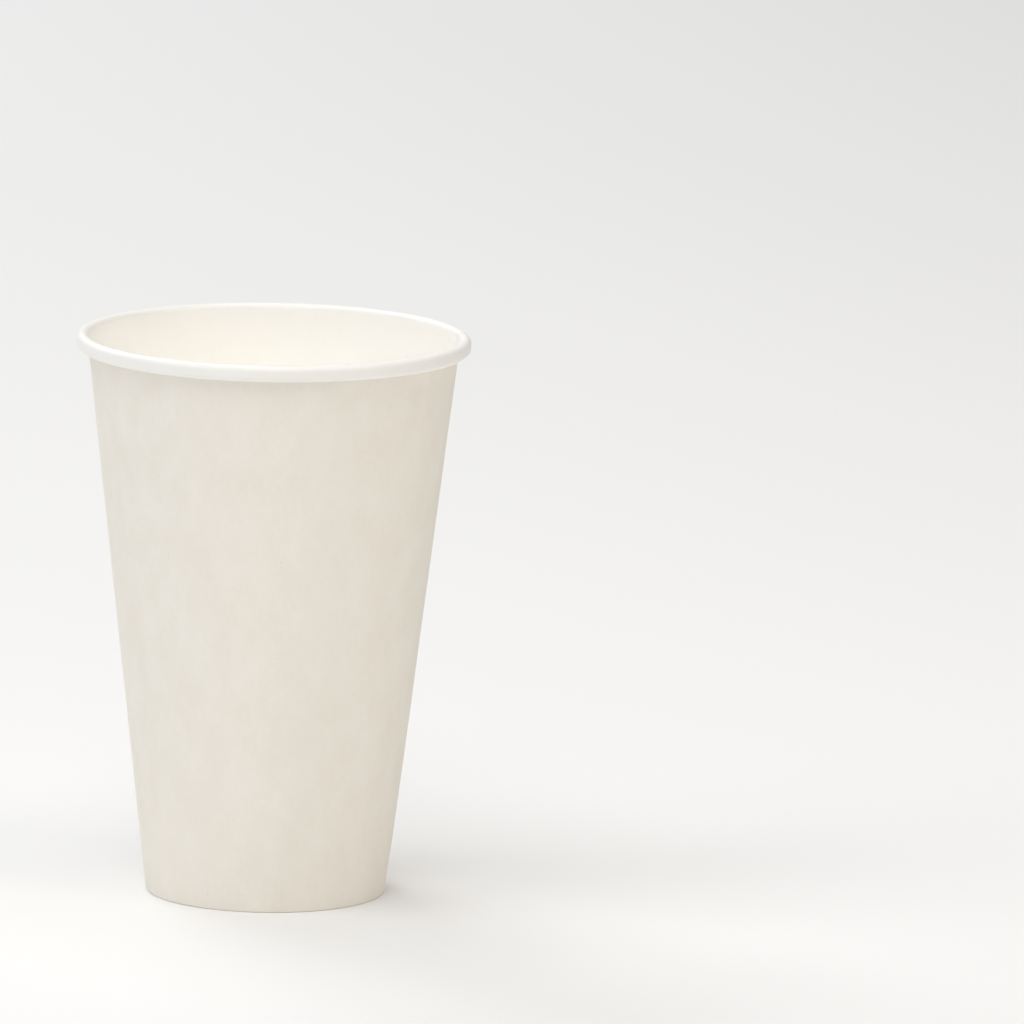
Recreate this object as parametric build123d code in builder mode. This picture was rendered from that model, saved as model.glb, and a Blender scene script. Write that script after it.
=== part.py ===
from build123d import *
import os
from math import asin, atan, cos, degrees, radians, sqrt, tan

# A free-standing paper cup, in millimetres. The origin is the centre of its foot on the table, +Z is up and
# -Y is the front. It is two pieces of paper. The wall is a fan-shaped blank rolled into a cone and sealed
# where its ends lap; its top edge is rolled outwards, and its lower edge is folded in and up. The bottom is
# a disc whose edge is drawn down as a skirt, and the folded edge of the wall holds that skirt.

# Overall sizes
rim_diameter = 90.0  # across the rolled rim, to suit a 90 mm lid
cup_height = 129.0
base_diameter = 54.8  # across the wall's outer face, carried down to the table

# Papers
wall_paper = 0.38
bottom_paper = 0.30
glue_gap = 0.05  # between faces that are sealed together

# Rolled rim
rim_overhang = 2.55  # how far the roll stands out past the wall
rim_depth = 3.6  # from the roll's top to its underside
rim_roundness = 0.97  # 1 would make the roll's top and its underside full half circles
tuck_gap = 0.12  # between the blank's free edge, inside the roll, and the wall
tuck_level = 1.5  # how far the free edge stands above the roll's underside

# Folded foot
foot_bend = 0.22  # radius of the fold's two bends, at the middle of the paper

# Raised bottom
bottom_recess = 7.0  # from the table to the underside of the disc
skirt_bend = 0.7  # radius between disc and skirt, at the middle of the paper
skirt_clearance = 0.15  # from the skirt's lower edge to the fold
flange_clearance = 0.2  # from the folded flange's edge to the bend above it

# Side seam
seam_bearing = 14.0  # from +X towards +Y, just behind the cup's right side
seam_overlap = 7.0
seam_channel = 0.9  # the step that is left beside the blank's inner end
channel_margin = 0.15  # inside the roll, the lapped paper reaches this far past the channel
seam_ramp = 2.0  # over which the blank's outer end rises onto its inner one

# The wall's lean
rim_level = cup_height - rim_depth / 2
wall_slope = ((rim_diameter - base_diameter) / 2 - rim_overhang) / rim_level
lean = atan(wall_slope)

# The middle of each ply, measured out from the wall's outer face
wall_ply = -wall_paper / 2
skirt_ply = -wall_paper - glue_gap - bottom_paper / 2
flange_ply = skirt_ply - bottom_paper / 2 - glue_gap - wall_paper / 2
tuck_ply = tuck_gap + wall_paper / 2
lapped_ply = wall_paper / 2

# Levels and reaches of the middle of the paper
foot_level = wall_paper / 2
skirt_edge = wall_paper + skirt_clearance
flange_edge = bottom_recess - skirt_bend - flange_clearance
disc_level = bottom_recess + bottom_paper / 2
rim_top = cup_height - wall_paper / 2
rim_underside = cup_height - rim_depth
rim_under = rim_underside + wall_paper / 2
rim_reach = rim_diameter / 2 - wall_paper / 2


def beside_wall(offset, level):
    """The point at a level on the line that runs offset mm outside the wall's outer face."""
    return base_diameter / 2 + wall_slope * level + offset / cos(lean), level


def full_round(run, first_turn, second_turn):
    """The radius of two equal bends that take up the run between them."""
    return rim_roundness * run / (tan(first_turn / 2) + tan(second_turn / 2))


top_bend = full_round(rim_reach - beside_wall(wall_ply, rim_top)[0], radians(90) - lean, radians(90))
under_bend = full_round(rim_reach - beside_wall(tuck_ply, rim_under)[0], radians(90), radians(90) + lean)
roll_side = rim_under + under_bend  # where the roll's side starts to turn under

# The seam's bounds across the wall, from the middle of the lap
inner_end = -seam_overlap / 2
outer_end = seam_overlap / 2
ramp_top = inner_end - seam_channel
ramp_foot = ramp_top - seam_ramp
seam_sweep = 4 * degrees(asin(-2 * ramp_foot / base_diameter))  # wider than the seam is at the foot
seam_start = Plane.XZ.rotated((0, 0, -seam_sweep / 2))

# The ramp is planed by a cone that stands off to one side of the cup's axis
ramp_shift = wall_paper * (base_diameter + rim_diameter) / 4 / seam_ramp


def over_ramp(level):
    """The point at a level on that cone: it meets the lapped ply's outer face at the top of the ramp."""
    lapped_radius = beside_wall(wall_paper, level)[0]
    return sqrt(lapped_radius**2 + ramp_shift**2 - 2 * ramp_shift * ramp_top), level


with BuildPart() as cup_bottom:
    with BuildSketch(Plane.XZ):
        with BuildLine():
            FilletPolyline(
                (0, disc_level),
                beside_wall(skirt_ply, disc_level),
                beside_wall(skirt_ply, skirt_edge),
                radius=skirt_bend,
            )
        trace(line_width=bottom_paper)
    revolve(axis=Axis.Z)

# The blank's outer end, lapped over the wall and followed round inside the roll. Like the channel beside
# the inner end, it is shaped at +X, and turned to the seam's bearing when it meets the wall.
with BuildPart() as lapped_end:
    with BuildSketch(seam_start):
        with BuildLine():
            FilletPolyline(
                beside_wall(lapped_ply, -wall_paper),
                beside_wall(lapped_ply, rim_top - wall_paper),
                (rim_reach - wall_paper, rim_top - wall_paper),
                (rim_reach - wall_paper, roll_side),
                radius=top_bend - wall_paper,
            )
        trace(line_width=wall_paper)
    revolve(axis=Axis.Z, revolution_arc=seam_sweep)
    with BuildSketch():
        with Locations((0, ramp_foot)):
            Rectangle(rim_diameter, outer_end - ramp_foot, align=(Align.MIN, Align.MIN))
    extrude(amount=cup_height, mode=Mode.INTERSECT)
    with BuildSketch(Plane.XZ.offset(-ramp_shift)):
        with BuildLine():
            Polyline(
                over_ramp(0),
                (rim_diameter, 0),
                (rim_diameter, rim_underside),
                over_ramp(rim_underside),
                close=True,
            )
        make_face()
    revolve(axis=Axis((0, ramp_shift, 0), (0, 0, 1)), mode=Mode.SUBTRACT)

with BuildPart() as channel:
    with BuildSketch(seam_start):
        with BuildLine():
            FilletPolyline(
                beside_wall(wall_ply, bottom_recess),
                beside_wall(wall_ply, rim_top),
                (rim_reach, rim_top),
                (rim_reach, roll_side + channel_margin),
                radius=top_bend,
            )
        trace(line_width=wall_paper)
    revolve(axis=Axis.Z, revolution_arc=seam_sweep)
    with BuildSketch():
        with Locations((0, ramp_top)):
            Rectangle(rim_diameter, seam_channel, align=(Align.MIN, Align.MIN))
    extrude(amount=cup_height, mode=Mode.INTERSECT)

# The wall's paper, followed from its folded flange, under the foot, up the wall and round the roll
with BuildPart() as cup_wall:
    with BuildSketch(Plane.XZ):
        with BuildLine():
            FilletPolyline(
                beside_wall(flange_ply, flange_edge),
                beside_wall(flange_ply, foot_level),
                beside_wall(wall_ply, foot_level),
                beside_wall(wall_ply, rim_top),
                (rim_reach, rim_top),
                (rim_reach, rim_under),
                beside_wall(tuck_ply, rim_under),
                beside_wall(tuck_ply, rim_underside + tuck_level),
                radius=[foot_bend, foot_bend, top_bend, top_bend, under_bend, under_bend],
            )
        trace(line_width=wall_paper)
    revolve(axis=Axis.Z)
    add(channel.part, rotation=(0, 0, seam_bearing), mode=Mode.SUBTRACT)
    add(lapped_end.part, rotation=(0, 0, seam_bearing))

os.makedirs("parts", exist_ok=True)
cup_wall.part.label = "cup_wall"
cup_bottom.part.label = "cup_bottom"
export_step(cup_wall.part, "parts/cup_wall.step")
export_step(cup_bottom.part, "parts/cup_bottom.step")
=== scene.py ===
from math import atan, atan2, cos, degrees, hypot, pi, radians, sin, tan
import bpy
from mathutils import Matrix, Vector


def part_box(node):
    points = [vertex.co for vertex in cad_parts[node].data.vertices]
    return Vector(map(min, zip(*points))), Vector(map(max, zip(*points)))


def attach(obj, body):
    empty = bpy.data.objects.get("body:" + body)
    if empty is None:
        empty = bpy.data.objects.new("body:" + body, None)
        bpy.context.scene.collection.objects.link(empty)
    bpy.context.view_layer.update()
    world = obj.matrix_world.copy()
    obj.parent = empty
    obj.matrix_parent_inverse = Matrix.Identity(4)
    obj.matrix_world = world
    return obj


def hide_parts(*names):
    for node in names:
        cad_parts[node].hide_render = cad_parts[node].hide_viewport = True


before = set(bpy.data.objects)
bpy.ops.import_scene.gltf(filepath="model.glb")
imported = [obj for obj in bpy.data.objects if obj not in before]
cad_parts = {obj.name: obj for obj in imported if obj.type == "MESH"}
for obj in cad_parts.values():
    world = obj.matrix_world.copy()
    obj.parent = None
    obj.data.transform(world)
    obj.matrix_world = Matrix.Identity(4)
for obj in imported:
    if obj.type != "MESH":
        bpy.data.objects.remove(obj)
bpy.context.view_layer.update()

wallLow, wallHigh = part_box("cup_wall")
rimRadius = (wallHigh[0] - wallLow[0]) / 2
cupTop = wallHigh[2]

# what both papers share, in metres
cup = {
    "baseRadius": 0.0274,  # the wall's outer face, carried down to the table
    "wallPaper": 0.00038,
    "bottomPaper": 0.0003,
    "glueGap": 0.00005,
    "recess": 0.007,  # the bottom's underside above the table
    "skirtBend": 0.0007,
    "flangeClearance": 0.0002,
}
mergeUnder = 0.000003
smoothUnder = 35  # degrees between faces
roll = {"overhang": 0.00255, "depth": 0.0036, "roundness": 0.97, "tuckGap": 0.00012, "tuck": 0.0015}
foot = {"bend": 0.00022, "skirtClearance": 0.00015}

wallSlope = (rimRadius - roll["overhang"] - cup["baseRadius"]) / (cupTop - roll["depth"] / 2)
lean = atan(wallSlope)
wallPly = -cup["wallPaper"] / 2
skirtPly = -cup["wallPaper"] - cup["glueGap"] - cup["bottomPaper"] / 2
flangePly = skirtPly - cup["bottomPaper"] / 2 - cup["glueGap"] - cup["wallPaper"] / 2
discLevel = cup["recess"] + cup["bottomPaper"] / 2


def letGo():
    if bpy.context.object and bpy.context.object.mode != "OBJECT":
        bpy.ops.object.mode_set(mode="OBJECT")
    bpy.ops.object.select_all(action="DESELECT")


def pickVerts(piece, wanted):
    bpy.ops.object.mode_set(mode="EDIT")
    bpy.ops.mesh.select_mode(type="VERT")
    bpy.ops.mesh.select_all(action="DESELECT")
    bpy.ops.object.mode_set(mode="OBJECT")
    for vert in piece.data.vertices:
        vert.select = wanted(vert.co)
    bpy.ops.object.mode_set(mode="EDIT")


def useModifier(piece, kind, **settings):
    modifier = piece.modifiers.new(kind.title(), kind)
    for name, value in settings.items():
        setattr(modifier, name, value)
    bpy.ops.object.modifier_apply(modifier=modifier.name)


def bearing(place):
    return degrees(atan2(place.y, place.x)) % 360


def besideWall(offset, level):
    # a point offset outside the wall's outer face, as radius and height
    return Vector((cup["baseRadius"] + wallSlope * level + offset / cos(lean), level))


def bentLine(corners, bends, rowHeight, arcSteps=7):
    # the line through the corners, with an arc at each bend and rows along the straights
    points = [corners[0]]

    def runTo(end):
        gap = end - points[-1]
        rows = max(1, round(gap.length / rowHeight))
        start = points[-1]
        points.extend(start + gap * row / rows for row in range(1, rows + 1))

    for before, corner, after, bend in zip(corners, corners[1:], corners[2:], bends):
        arriving = (corner - before).normalized()
        leaving = (after - corner).normalized()
        turn = arriving.angle(leaving)
        side = 1 if arriving.cross(leaving) > 0 else -1
        runTo(corner - arriving * bend * tan(turn / 2))
        centre = points[-1] + Vector((-arriving.y, arriving.x)) * side * bend
        arm = points[-1] - centre
        for step in range(1, arcSteps + 1):
            points.append(centre + Matrix.Rotation(side * turn * step / arcSteps, 2) @ arm)
    runTo(corners[-1])
    return points


def penLine(name, points, turned):
    # one vertex, drawn out point by point in the plane through the axis at that bearing
    letGo()
    places = [Vector((p.x * cos(turned), p.x * sin(turned), p.y)) for p in points]
    bpy.ops.mesh.primitive_plane_add(size=0.001, location=places[0])
    piece = bpy.context.object
    piece.name = name
    bpy.ops.object.transform_apply(location=True)
    bpy.ops.object.mode_set(mode="EDIT")
    bpy.ops.mesh.select_all(action="SELECT")
    bpy.ops.mesh.merge(type="CENTER")
    for here, there in zip(places, places[1:]):
        bpy.ops.mesh.extrude_region_move(TRANSFORM_OT_translate={"value": there - here})
    bpy.ops.mesh.select_all(action="SELECT")
    return piece


def spinRound(stretches, facingIn):
    for sweep, steps in stretches:
        bpy.ops.mesh.spin(steps=steps, angle=radians(sweep), center=(0, 0, 0), axis=(0, 0, -1))
    bpy.ops.mesh.select_all(action="SELECT")
    bpy.ops.mesh.remove_doubles(threshold=mergeUnder)
    bpy.ops.mesh.normals_make_consistent(inside=facingIn)
    bpy.ops.object.mode_set(mode="OBJECT")


def newMaterial(name, **values):
    material = bpy.data.materials.new(name)
    material.use_nodes = True
    tree = material.node_tree
    shader = tree.nodes["Principled BSDF"]
    for socket, value in values.items():
        shader.inputs[socket].default_value = value
    return material, tree, shader


def addNode(tree, kind, **settings):
    node = tree.nodes.new(kind)
    for name, value in settings.items():
        if name in node.inputs.keys():
            node.inputs[name].default_value = value
        else:
            setattr(node, name, value)
    return node


def paperGrainGroup():
    # fibres, cloudy formation and stray darker specks, as masks, and a height for the bump
    group = bpy.data.node_groups.new("paperGrain", "ShaderNodeTree")
    for name, value in (("Fibre Size", 0.0006), ("Cloud Size", 0.006), ("Speck Amount", 0.5)):
        socket = group.interface.new_socket(name, in_out="INPUT", socket_type="NodeSocketFloat")
        socket.default_value = value
    for name in ("Tone", "Specks", "Height"):
        group.interface.new_socket(name, in_out="OUTPUT", socket_type="NodeSocketFloat")
    links = group.links
    start = group.nodes.new("NodeGroupInput")
    end = group.nodes.new("NodeGroupOutput")
    place = addNode(group, "ShaderNodeTexCoord")

    def noise(sizeSocket, turn, stretch, detail):
        scale = addNode(group, "ShaderNodeMath", operation="DIVIDE")
        scale.inputs[0].default_value = 1.0
        links.new(start.outputs[sizeSocket], scale.inputs[1])
        mapping = addNode(group, "ShaderNodeMapping")
        mapping.inputs["Rotation"].default_value = turn
        mapping.inputs["Scale"].default_value = stretch
        links.new(place.outputs["Object"], mapping.inputs["Vector"])
        texture = addNode(group, "ShaderNodeTexNoise")
        texture.inputs["Detail"].default_value = detail
        texture.inputs["Roughness"].default_value = 0.55
        links.new(mapping.outputs["Vector"], texture.inputs["Vector"])
        links.new(scale.outputs[0], texture.inputs["Scale"])
        return texture.outputs["Fac"]

    def blend(one, other, operation, factor=None):
        node = addNode(group, "ShaderNodeMath", operation=operation)
        for socket, value in zip(node.inputs, (one, other, factor)):
            if value is None:
                continue
            if isinstance(value, (int, float)):
                socket.default_value = value
            else:
                links.new(value, socket)
        return node.outputs[0]

    upright = noise("Fibre Size", (0.1, 0.2, 0.0), (1.0, 1.0, 0.3), 3)
    slanted = noise("Fibre Size", (0.9, -0.5, 0.4), (1.0, 0.35, 1.0), 3)
    clouds = noise("Cloud Size", (0.3, 0.7, 0.2), (1.0, 1.0, 0.6), 4)
    fibres = blend(upright, slanted, "ADD")
    fibres = blend(fibres, 0.5, "MULTIPLY")
    tone = blend(fibres, 0.45, "MULTIPLY")
    tone = blend(clouds, 0.55, "MULTIPLY_ADD", tone)
    links.new(tone, end.inputs["Tone"])
    links.new(fibres, end.inputs["Height"])
    flecks = noise("Fibre Size", (0.2, 0.4, 1.1), (0.8, 0.8, 0.5), 1)
    flecks = blend(flecks, 0.78, "SUBTRACT")
    flecks = blend(flecks, 14.0, "MULTIPLY")
    node = addNode(group, "ShaderNodeClamp")
    links.new(flecks, node.inputs["Value"])
    specks = blend(node.outputs[0], start.outputs["Speck Amount"], "MULTIPLY")
    links.new(specks, end.inputs["Specks"])
    return group


def paperMaterial(name, look, grain):
    material, tree, shader = newMaterial(name, **look["shader"])
    group = addNode(tree, "ShaderNodeGroup")
    group.node_tree = grain
    for socket, value in look["grain"].items():
        group.inputs[socket].default_value = value
    colour = addNode(tree, "ShaderNodeMix", data_type="RGBA")
    colour.inputs[6].default_value = (*look["dark"], 1)
    colour.inputs[7].default_value = (*look["light"], 1)
    spread = addNode(tree, "ShaderNodeMapRange")
    spread.inputs["From Min"].default_value = 0.35
    spread.inputs["From Max"].default_value = 0.65
    tree.links.new(group.outputs["Tone"], spread.inputs["Value"])
    tree.links.new(spread.outputs[0], colour.inputs[0])
    specked = addNode(tree, "ShaderNodeMix", data_type="RGBA")
    specked.inputs[7].default_value = (*look["speck"], 1)
    tree.links.new(colour.outputs[2], specked.inputs[6])
    tree.links.new(group.outputs["Specks"], specked.inputs[0])
    tree.links.new(specked.outputs[2], shader.inputs["Base Color"])
    rough = addNode(tree, "ShaderNodeMapRange")
    rough.inputs["To Min"].default_value, rough.inputs["To Max"].default_value = look["roughness"]
    tree.links.new(group.outputs["Tone"], rough.inputs["Value"])
    tree.links.new(rough.outputs[0], shader.inputs["Roughness"])
    bump = addNode(tree, "ShaderNodeBump")
    bump.inputs["Strength"].default_value = look["bump"]
    bump.inputs["Distance"].default_value = look["grainDepth"]
    tree.links.new(group.outputs["Height"], bump.inputs["Height"])
    tree.links.new(bump.outputs["Normal"], shader.inputs["Normal"])
    return material


bareLook = {
    "shader": {"Specular IOR Level": 0.25},
    "grain": {"Fibre Size": 0.0008, "Cloud Size": 0.006, "Speck Amount": 0.35},
    "dark": (0.9, 0.855, 0.775),
    "light": (0.94, 0.905, 0.835),
    "speck": (0.55, 0.5, 0.42),
    "roughness": (0.72, 0.86),
    "bump": 0.35,
    "grainDepth": 0.00006,
}
coatedLook = {
    "shader": {"Specular IOR Level": 0.45},
    "grain": {"Fibre Size": 0.0014, "Cloud Size": 0.009, "Speck Amount": 0.15},
    "dark": (0.955, 0.94, 0.905),
    "light": (0.975, 0.965, 0.94),
    "speck": (0.62, 0.57, 0.5),
    "roughness": (0.38, 0.5),
    "bump": 0.2,
    "grainDepth": 0.00004,
}
cutLook = {
    "shader": {"Specular IOR Level": 0.15},
    "grain": {"Fibre Size": 0.00025, "Cloud Size": 0.002, "Speck Amount": 0.5},
    "dark": (0.78, 0.74, 0.66),
    "light": (0.9, 0.875, 0.82),
    "speck": (0.5, 0.45, 0.38),
    "roughness": (0.9, 1.0),
    "bump": 0.6,
    "grainDepth": 0.00008,
}
grain = paperGrainGroup()
barePaper = paperMaterial("barePaper", bareLook, grain)
coatedPaper = paperMaterial("coatedPaper", coatedLook, grain)
cutPaper = paperMaterial("cutPaper", cutLook, grain)
print("papers mixed")


# the wall: one blank, rolled, lapped, curled at the top and folded at the foot
seam = {
    "middle": 14,  # these five are degrees round the cup
    "lap": 10.5,
    "channel": 1.3,
    "ramp": 2.9,
    "cutEdge": 0.04,
    "channelPush": 0.9,  # of a ply
    "channelFoot": 0.002,  # above the bottom's underside
    "lapFoot": 0.0008,  # above the table
    "lapTop": 0.0006,  # above the roll's lower side
}
wobble = {"amount": 0.00022, "size": 0.032, "clearFoot": 0.012, "clearRim": 0.012, "fade": 0.02}
wallMesh = {"rowHeight": 0.0032, "columns": 232}


def makeWall():
    footLevel = cup["wallPaper"] / 2
    flangeEdge = cup["recess"] - cup["skirtBend"] - cup["flangeClearance"]
    rimTop = cupTop - cup["wallPaper"] / 2
    rimUnder = cupTop - roll["depth"] + cup["wallPaper"] / 2
    rimReach = rimRadius - cup["wallPaper"] / 2
    tuckPly = roll["tuckGap"] + cup["wallPaper"] / 2
    lipWidth = rimReach - besideWall(wallPly, rimTop).x
    underWidth = rimReach - besideWall(tuckPly, rimUnder).x
    topBend = roll["roundness"] * lipWidth / (tan((pi / 2 - lean) / 2) + 1)
    underBend = roll["roundness"] * underWidth / (tan((pi / 2 + lean) / 2) + 1)
    line = bentLine(
        [
            besideWall(flangePly, flangeEdge),
            besideWall(flangePly, footLevel),
            besideWall(wallPly, footLevel),
            besideWall(wallPly, rimTop),
            Vector((rimReach, rimTop)),
            Vector((rimReach, rimUnder)),
            besideWall(tuckPly, rimUnder),
            besideWall(tuckPly, cupTop - roll["depth"] + roll["tuck"]),
        ],
        [foot["bend"], foot["bend"], topBend, topBend, underBend, underBend],
        rowHeight=wallMesh["rowHeight"],
    )
    freeEdge = seam["middle"] + seam["lap"] / 2
    innerEnd = seam["middle"] - seam["lap"] / 2
    rampTop = innerEnd - seam["channel"]
    wall = penLine("cupWall", line, radians(freeEdge))
    around = 360 - seam["lap"] - seam["channel"] - seam["ramp"]
    spinRound(
        [
            (around, wallMesh["columns"]),
            (seam["ramp"], 2),
            (seam["cutEdge"], 1),
            (seam["channel"] - 2 * seam["cutEdge"], 2),
            (seam["cutEdge"], 1),
            (seam["lap"] - seam["cutEdge"], 8),
            (seam["cutEdge"], 1),
        ],
        facingIn=True,
    )
    wall.data.materials.append(barePaper)
    wall.data.materials.append(coatedPaper)
    wall.data.materials.append(cutPaper)

    # the little unevenness that rolled paper keeps, fading out at foot and rim
    free = wall.vertex_groups.new(name="free")
    for vert in wall.data.vertices:
        fromFoot = vert.co.z - wobble["clearFoot"]
        fromRim = cupTop - wobble["clearRim"] - vert.co.z
        weight = min(1.0, max(0.0, min(fromFoot, fromRim) / wobble["fade"]))
        free.add([vert.index], weight, "REPLACE")
    softness = bpy.data.textures.new("softness", "CLOUDS")
    softness.noise_scale = wobble["size"]
    softness.noise_depth = 1
    useModifier(
        wall, "DISPLACE", texture=softness, strength=wobble["amount"], mid_level=0.5, vertex_group="free"
    )

    # the channel beside the blank's inner end is pushed out by a ply, over the roll too
    half = seam["cutEdge"] / 2
    channelFoot = cup["recess"] + seam["channelFoot"]
    pickVerts(
        wall,
        lambda co: rampTop + half < bearing(co) < innerEnd - half and co.z > channelFoot,
    )
    bpy.ops.transform.shrink_fatten(value=cup["wallPaper"] * seam["channelPush"])
    bpy.ops.object.mode_set(mode="OBJECT")
    useModifier(
        wall,
        "SOLIDIFY",
        thickness=cup["wallPaper"],
        offset=0,
        use_even_offset=True,
        material_offset=1,
        material_offset_rim=2,
    )

    # the lapped end stands one ply out from the wall
    def onLap(co):
        outside = hypot(co.x, co.y) > besideWall(wallPly, co.z).x
        inLap = innerEnd - half < bearing(co) < freeEdge - half
        lapTop = cupTop - roll["depth"] + seam["lapTop"]
        return outside and inLap and seam["lapFoot"] < co.z < lapTop

    pickVerts(wall, onLap)
    bpy.ops.transform.shrink_fatten(value=cup["wallPaper"])
    letGo()
    return wall


# the bottom: a disc with its edge drawn down
bottomMesh = {"rowHeight": 0.0022, "columns": 144}


def makeBottom():
    line = bentLine(
        [
            Vector((0, discLevel)),
            besideWall(skirtPly, discLevel),
            besideWall(skirtPly, cup["wallPaper"] + foot["skirtClearance"]),
        ],
        [cup["skirtBend"]],
        rowHeight=bottomMesh["rowHeight"],
    )
    bottom = penLine("cupBottom", line, 0)
    spinRound([(360, bottomMesh["columns"])], facingIn=False)
    bottom.data.materials.append(barePaper)
    bottom.data.materials.append(coatedPaper)
    bottom.data.materials.append(cutPaper)
    useModifier(
        bottom,
        "SOLIDIFY",
        thickness=cup["bottomPaper"],
        offset=0,
        use_even_offset=True,
        material_offset=1,
        material_offset_rim=2,
    )
    letGo()
    return bottom


wall = makeWall()
bottom = makeBottom()
for piece, node, slotName in ((wall, "cup_wall", "wall_paper"), (bottom, "cup_bottom", "bottom_paper")):
    piece.select_set(True)
    bpy.context.view_layer.objects.active = piece
    bpy.ops.object.shade_smooth_by_angle(angle=radians(smoothUnder))
    letGo()
    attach(piece, "root")
    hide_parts(node)
print("cup rolled, lapped and set up")


# table, light and camera
stage = {"size": 30, "floorColour": (0.92, 0.92, 0.92), "sky": 0.25, "skySeen": 0.9}
overCup = (0, 0, cupTop / 2)
lamps = {  # aimed over the cup and untinted, unless they say otherwise
    "softTop": {"place": (-0.1, -0.12, 1.6), "size": 1.7, "power": 14},
    "softFront": {"place": (-0.25, -1.3, 1.7), "size": 1.0, "power": 5},
    "softLeft": {"place": (-1.7, -0.7, 1.4), "size": 1.4, "power": 9},
    "warmRight": {"place": (1.4, -1.0, 1.0), "size": 0.9, "power": 6, "tint": (1, 0.86, 0.66)},
    "lowCard": {"place": (-0.1, -0.75, 0.03), "size": 0.4, "power": 0.4},
    "softBack": {"place": (-1.2, 2.2, 1.8), "aim": (-1.0, 2.0, 0), "size": 1.6, "power": 31},
}
mouthSpot = {
    "place": (-0.05, -0.12, 1.5),
    "aim": (0, 0, cupTop),
    "cone": 3.0,
    "blend": 0.8,
    "radius": 0.002,
    "power": 300,
}
cameraSet = {"place": (0.055, -3.1861, 0.6637), "pitch": 0.1785, "roll": 0.0193, "lens": 498.3}


def turnTo(light, target):
    light.rotation_euler = (Vector(target) - light.location).to_track_quat("-Z", "Y").to_euler()


def makeStage():
    letGo()
    bpy.ops.mesh.primitive_plane_add(size=stage["size"], location=(0, 0, 0))
    floor = bpy.context.object
    floor.name = "floor"
    material, tree, shader = newMaterial("paleFloor", Roughness=0.9)
    shader.inputs["Base Color"].default_value = (*stage["floorColour"], 1)
    shader.inputs["Specular IOR Level"].default_value = 0.1
    floor.data.materials.append(material)

    world = bpy.data.worlds.new("softRoom")
    bpy.context.scene.world = world
    world.use_nodes = True
    tree = world.node_tree
    light = tree.nodes["Background"]
    light.inputs["Color"].default_value = (1, 1, 1, 1)
    light.inputs["Strength"].default_value = stage["sky"]
    seen = addNode(tree, "ShaderNodeBackground", Color=(1, 1, 1, 1), Strength=stage["skySeen"])
    path = addNode(tree, "ShaderNodeLightPath")
    choose = addNode(tree, "ShaderNodeMixShader")
    tree.links.new(path.outputs["Is Camera Ray"], choose.inputs[0])
    tree.links.new(light.outputs[0], choose.inputs[1])
    tree.links.new(seen.outputs[0], choose.inputs[2])
    tree.links.new(choose.outputs[0], tree.nodes["World Output"].inputs["Surface"])

    for name, lamp in lamps.items():
        letGo()
        bpy.ops.object.light_add(type="AREA", location=lamp["place"])
        light = bpy.context.object
        light.name = name
        light.data.size = lamp["size"]
        light.data.energy = lamp["power"]
        light.data.color = lamp.get("tint", (1, 1, 1))
        turnTo(light, lamp.get("aim", overCup))

    # a narrow light from above that falls in the mouth only
    letGo()
    bpy.ops.object.light_add(type="SPOT", location=mouthSpot["place"])
    spot = bpy.context.object
    spot.name = "mouthSpot"
    spot.data.energy = mouthSpot["power"]
    spot.data.spot_size = radians(mouthSpot["cone"])
    spot.data.spot_blend = mouthSpot["blend"]
    spot.data.shadow_soft_size = mouthSpot["radius"]
    turnTo(spot, mouthSpot["aim"])

    letGo()
    bpy.ops.object.camera_add(location=cameraSet["place"])
    camera = bpy.context.object
    tilt = Matrix.Rotation(pi / 2 - cameraSet["pitch"], 3, "X") @ Matrix.Rotation(cameraSet["roll"], 3, "Z")
    camera.rotation_euler = tilt.to_euler()
    camera.data.lens = cameraSet["lens"]
    camera.data.clip_end = 100
    bpy.context.scene.camera = camera
    bpy.context.scene.view_settings.view_transform = "Standard"
    letGo()


makeStage()
print("table, light and camera set")
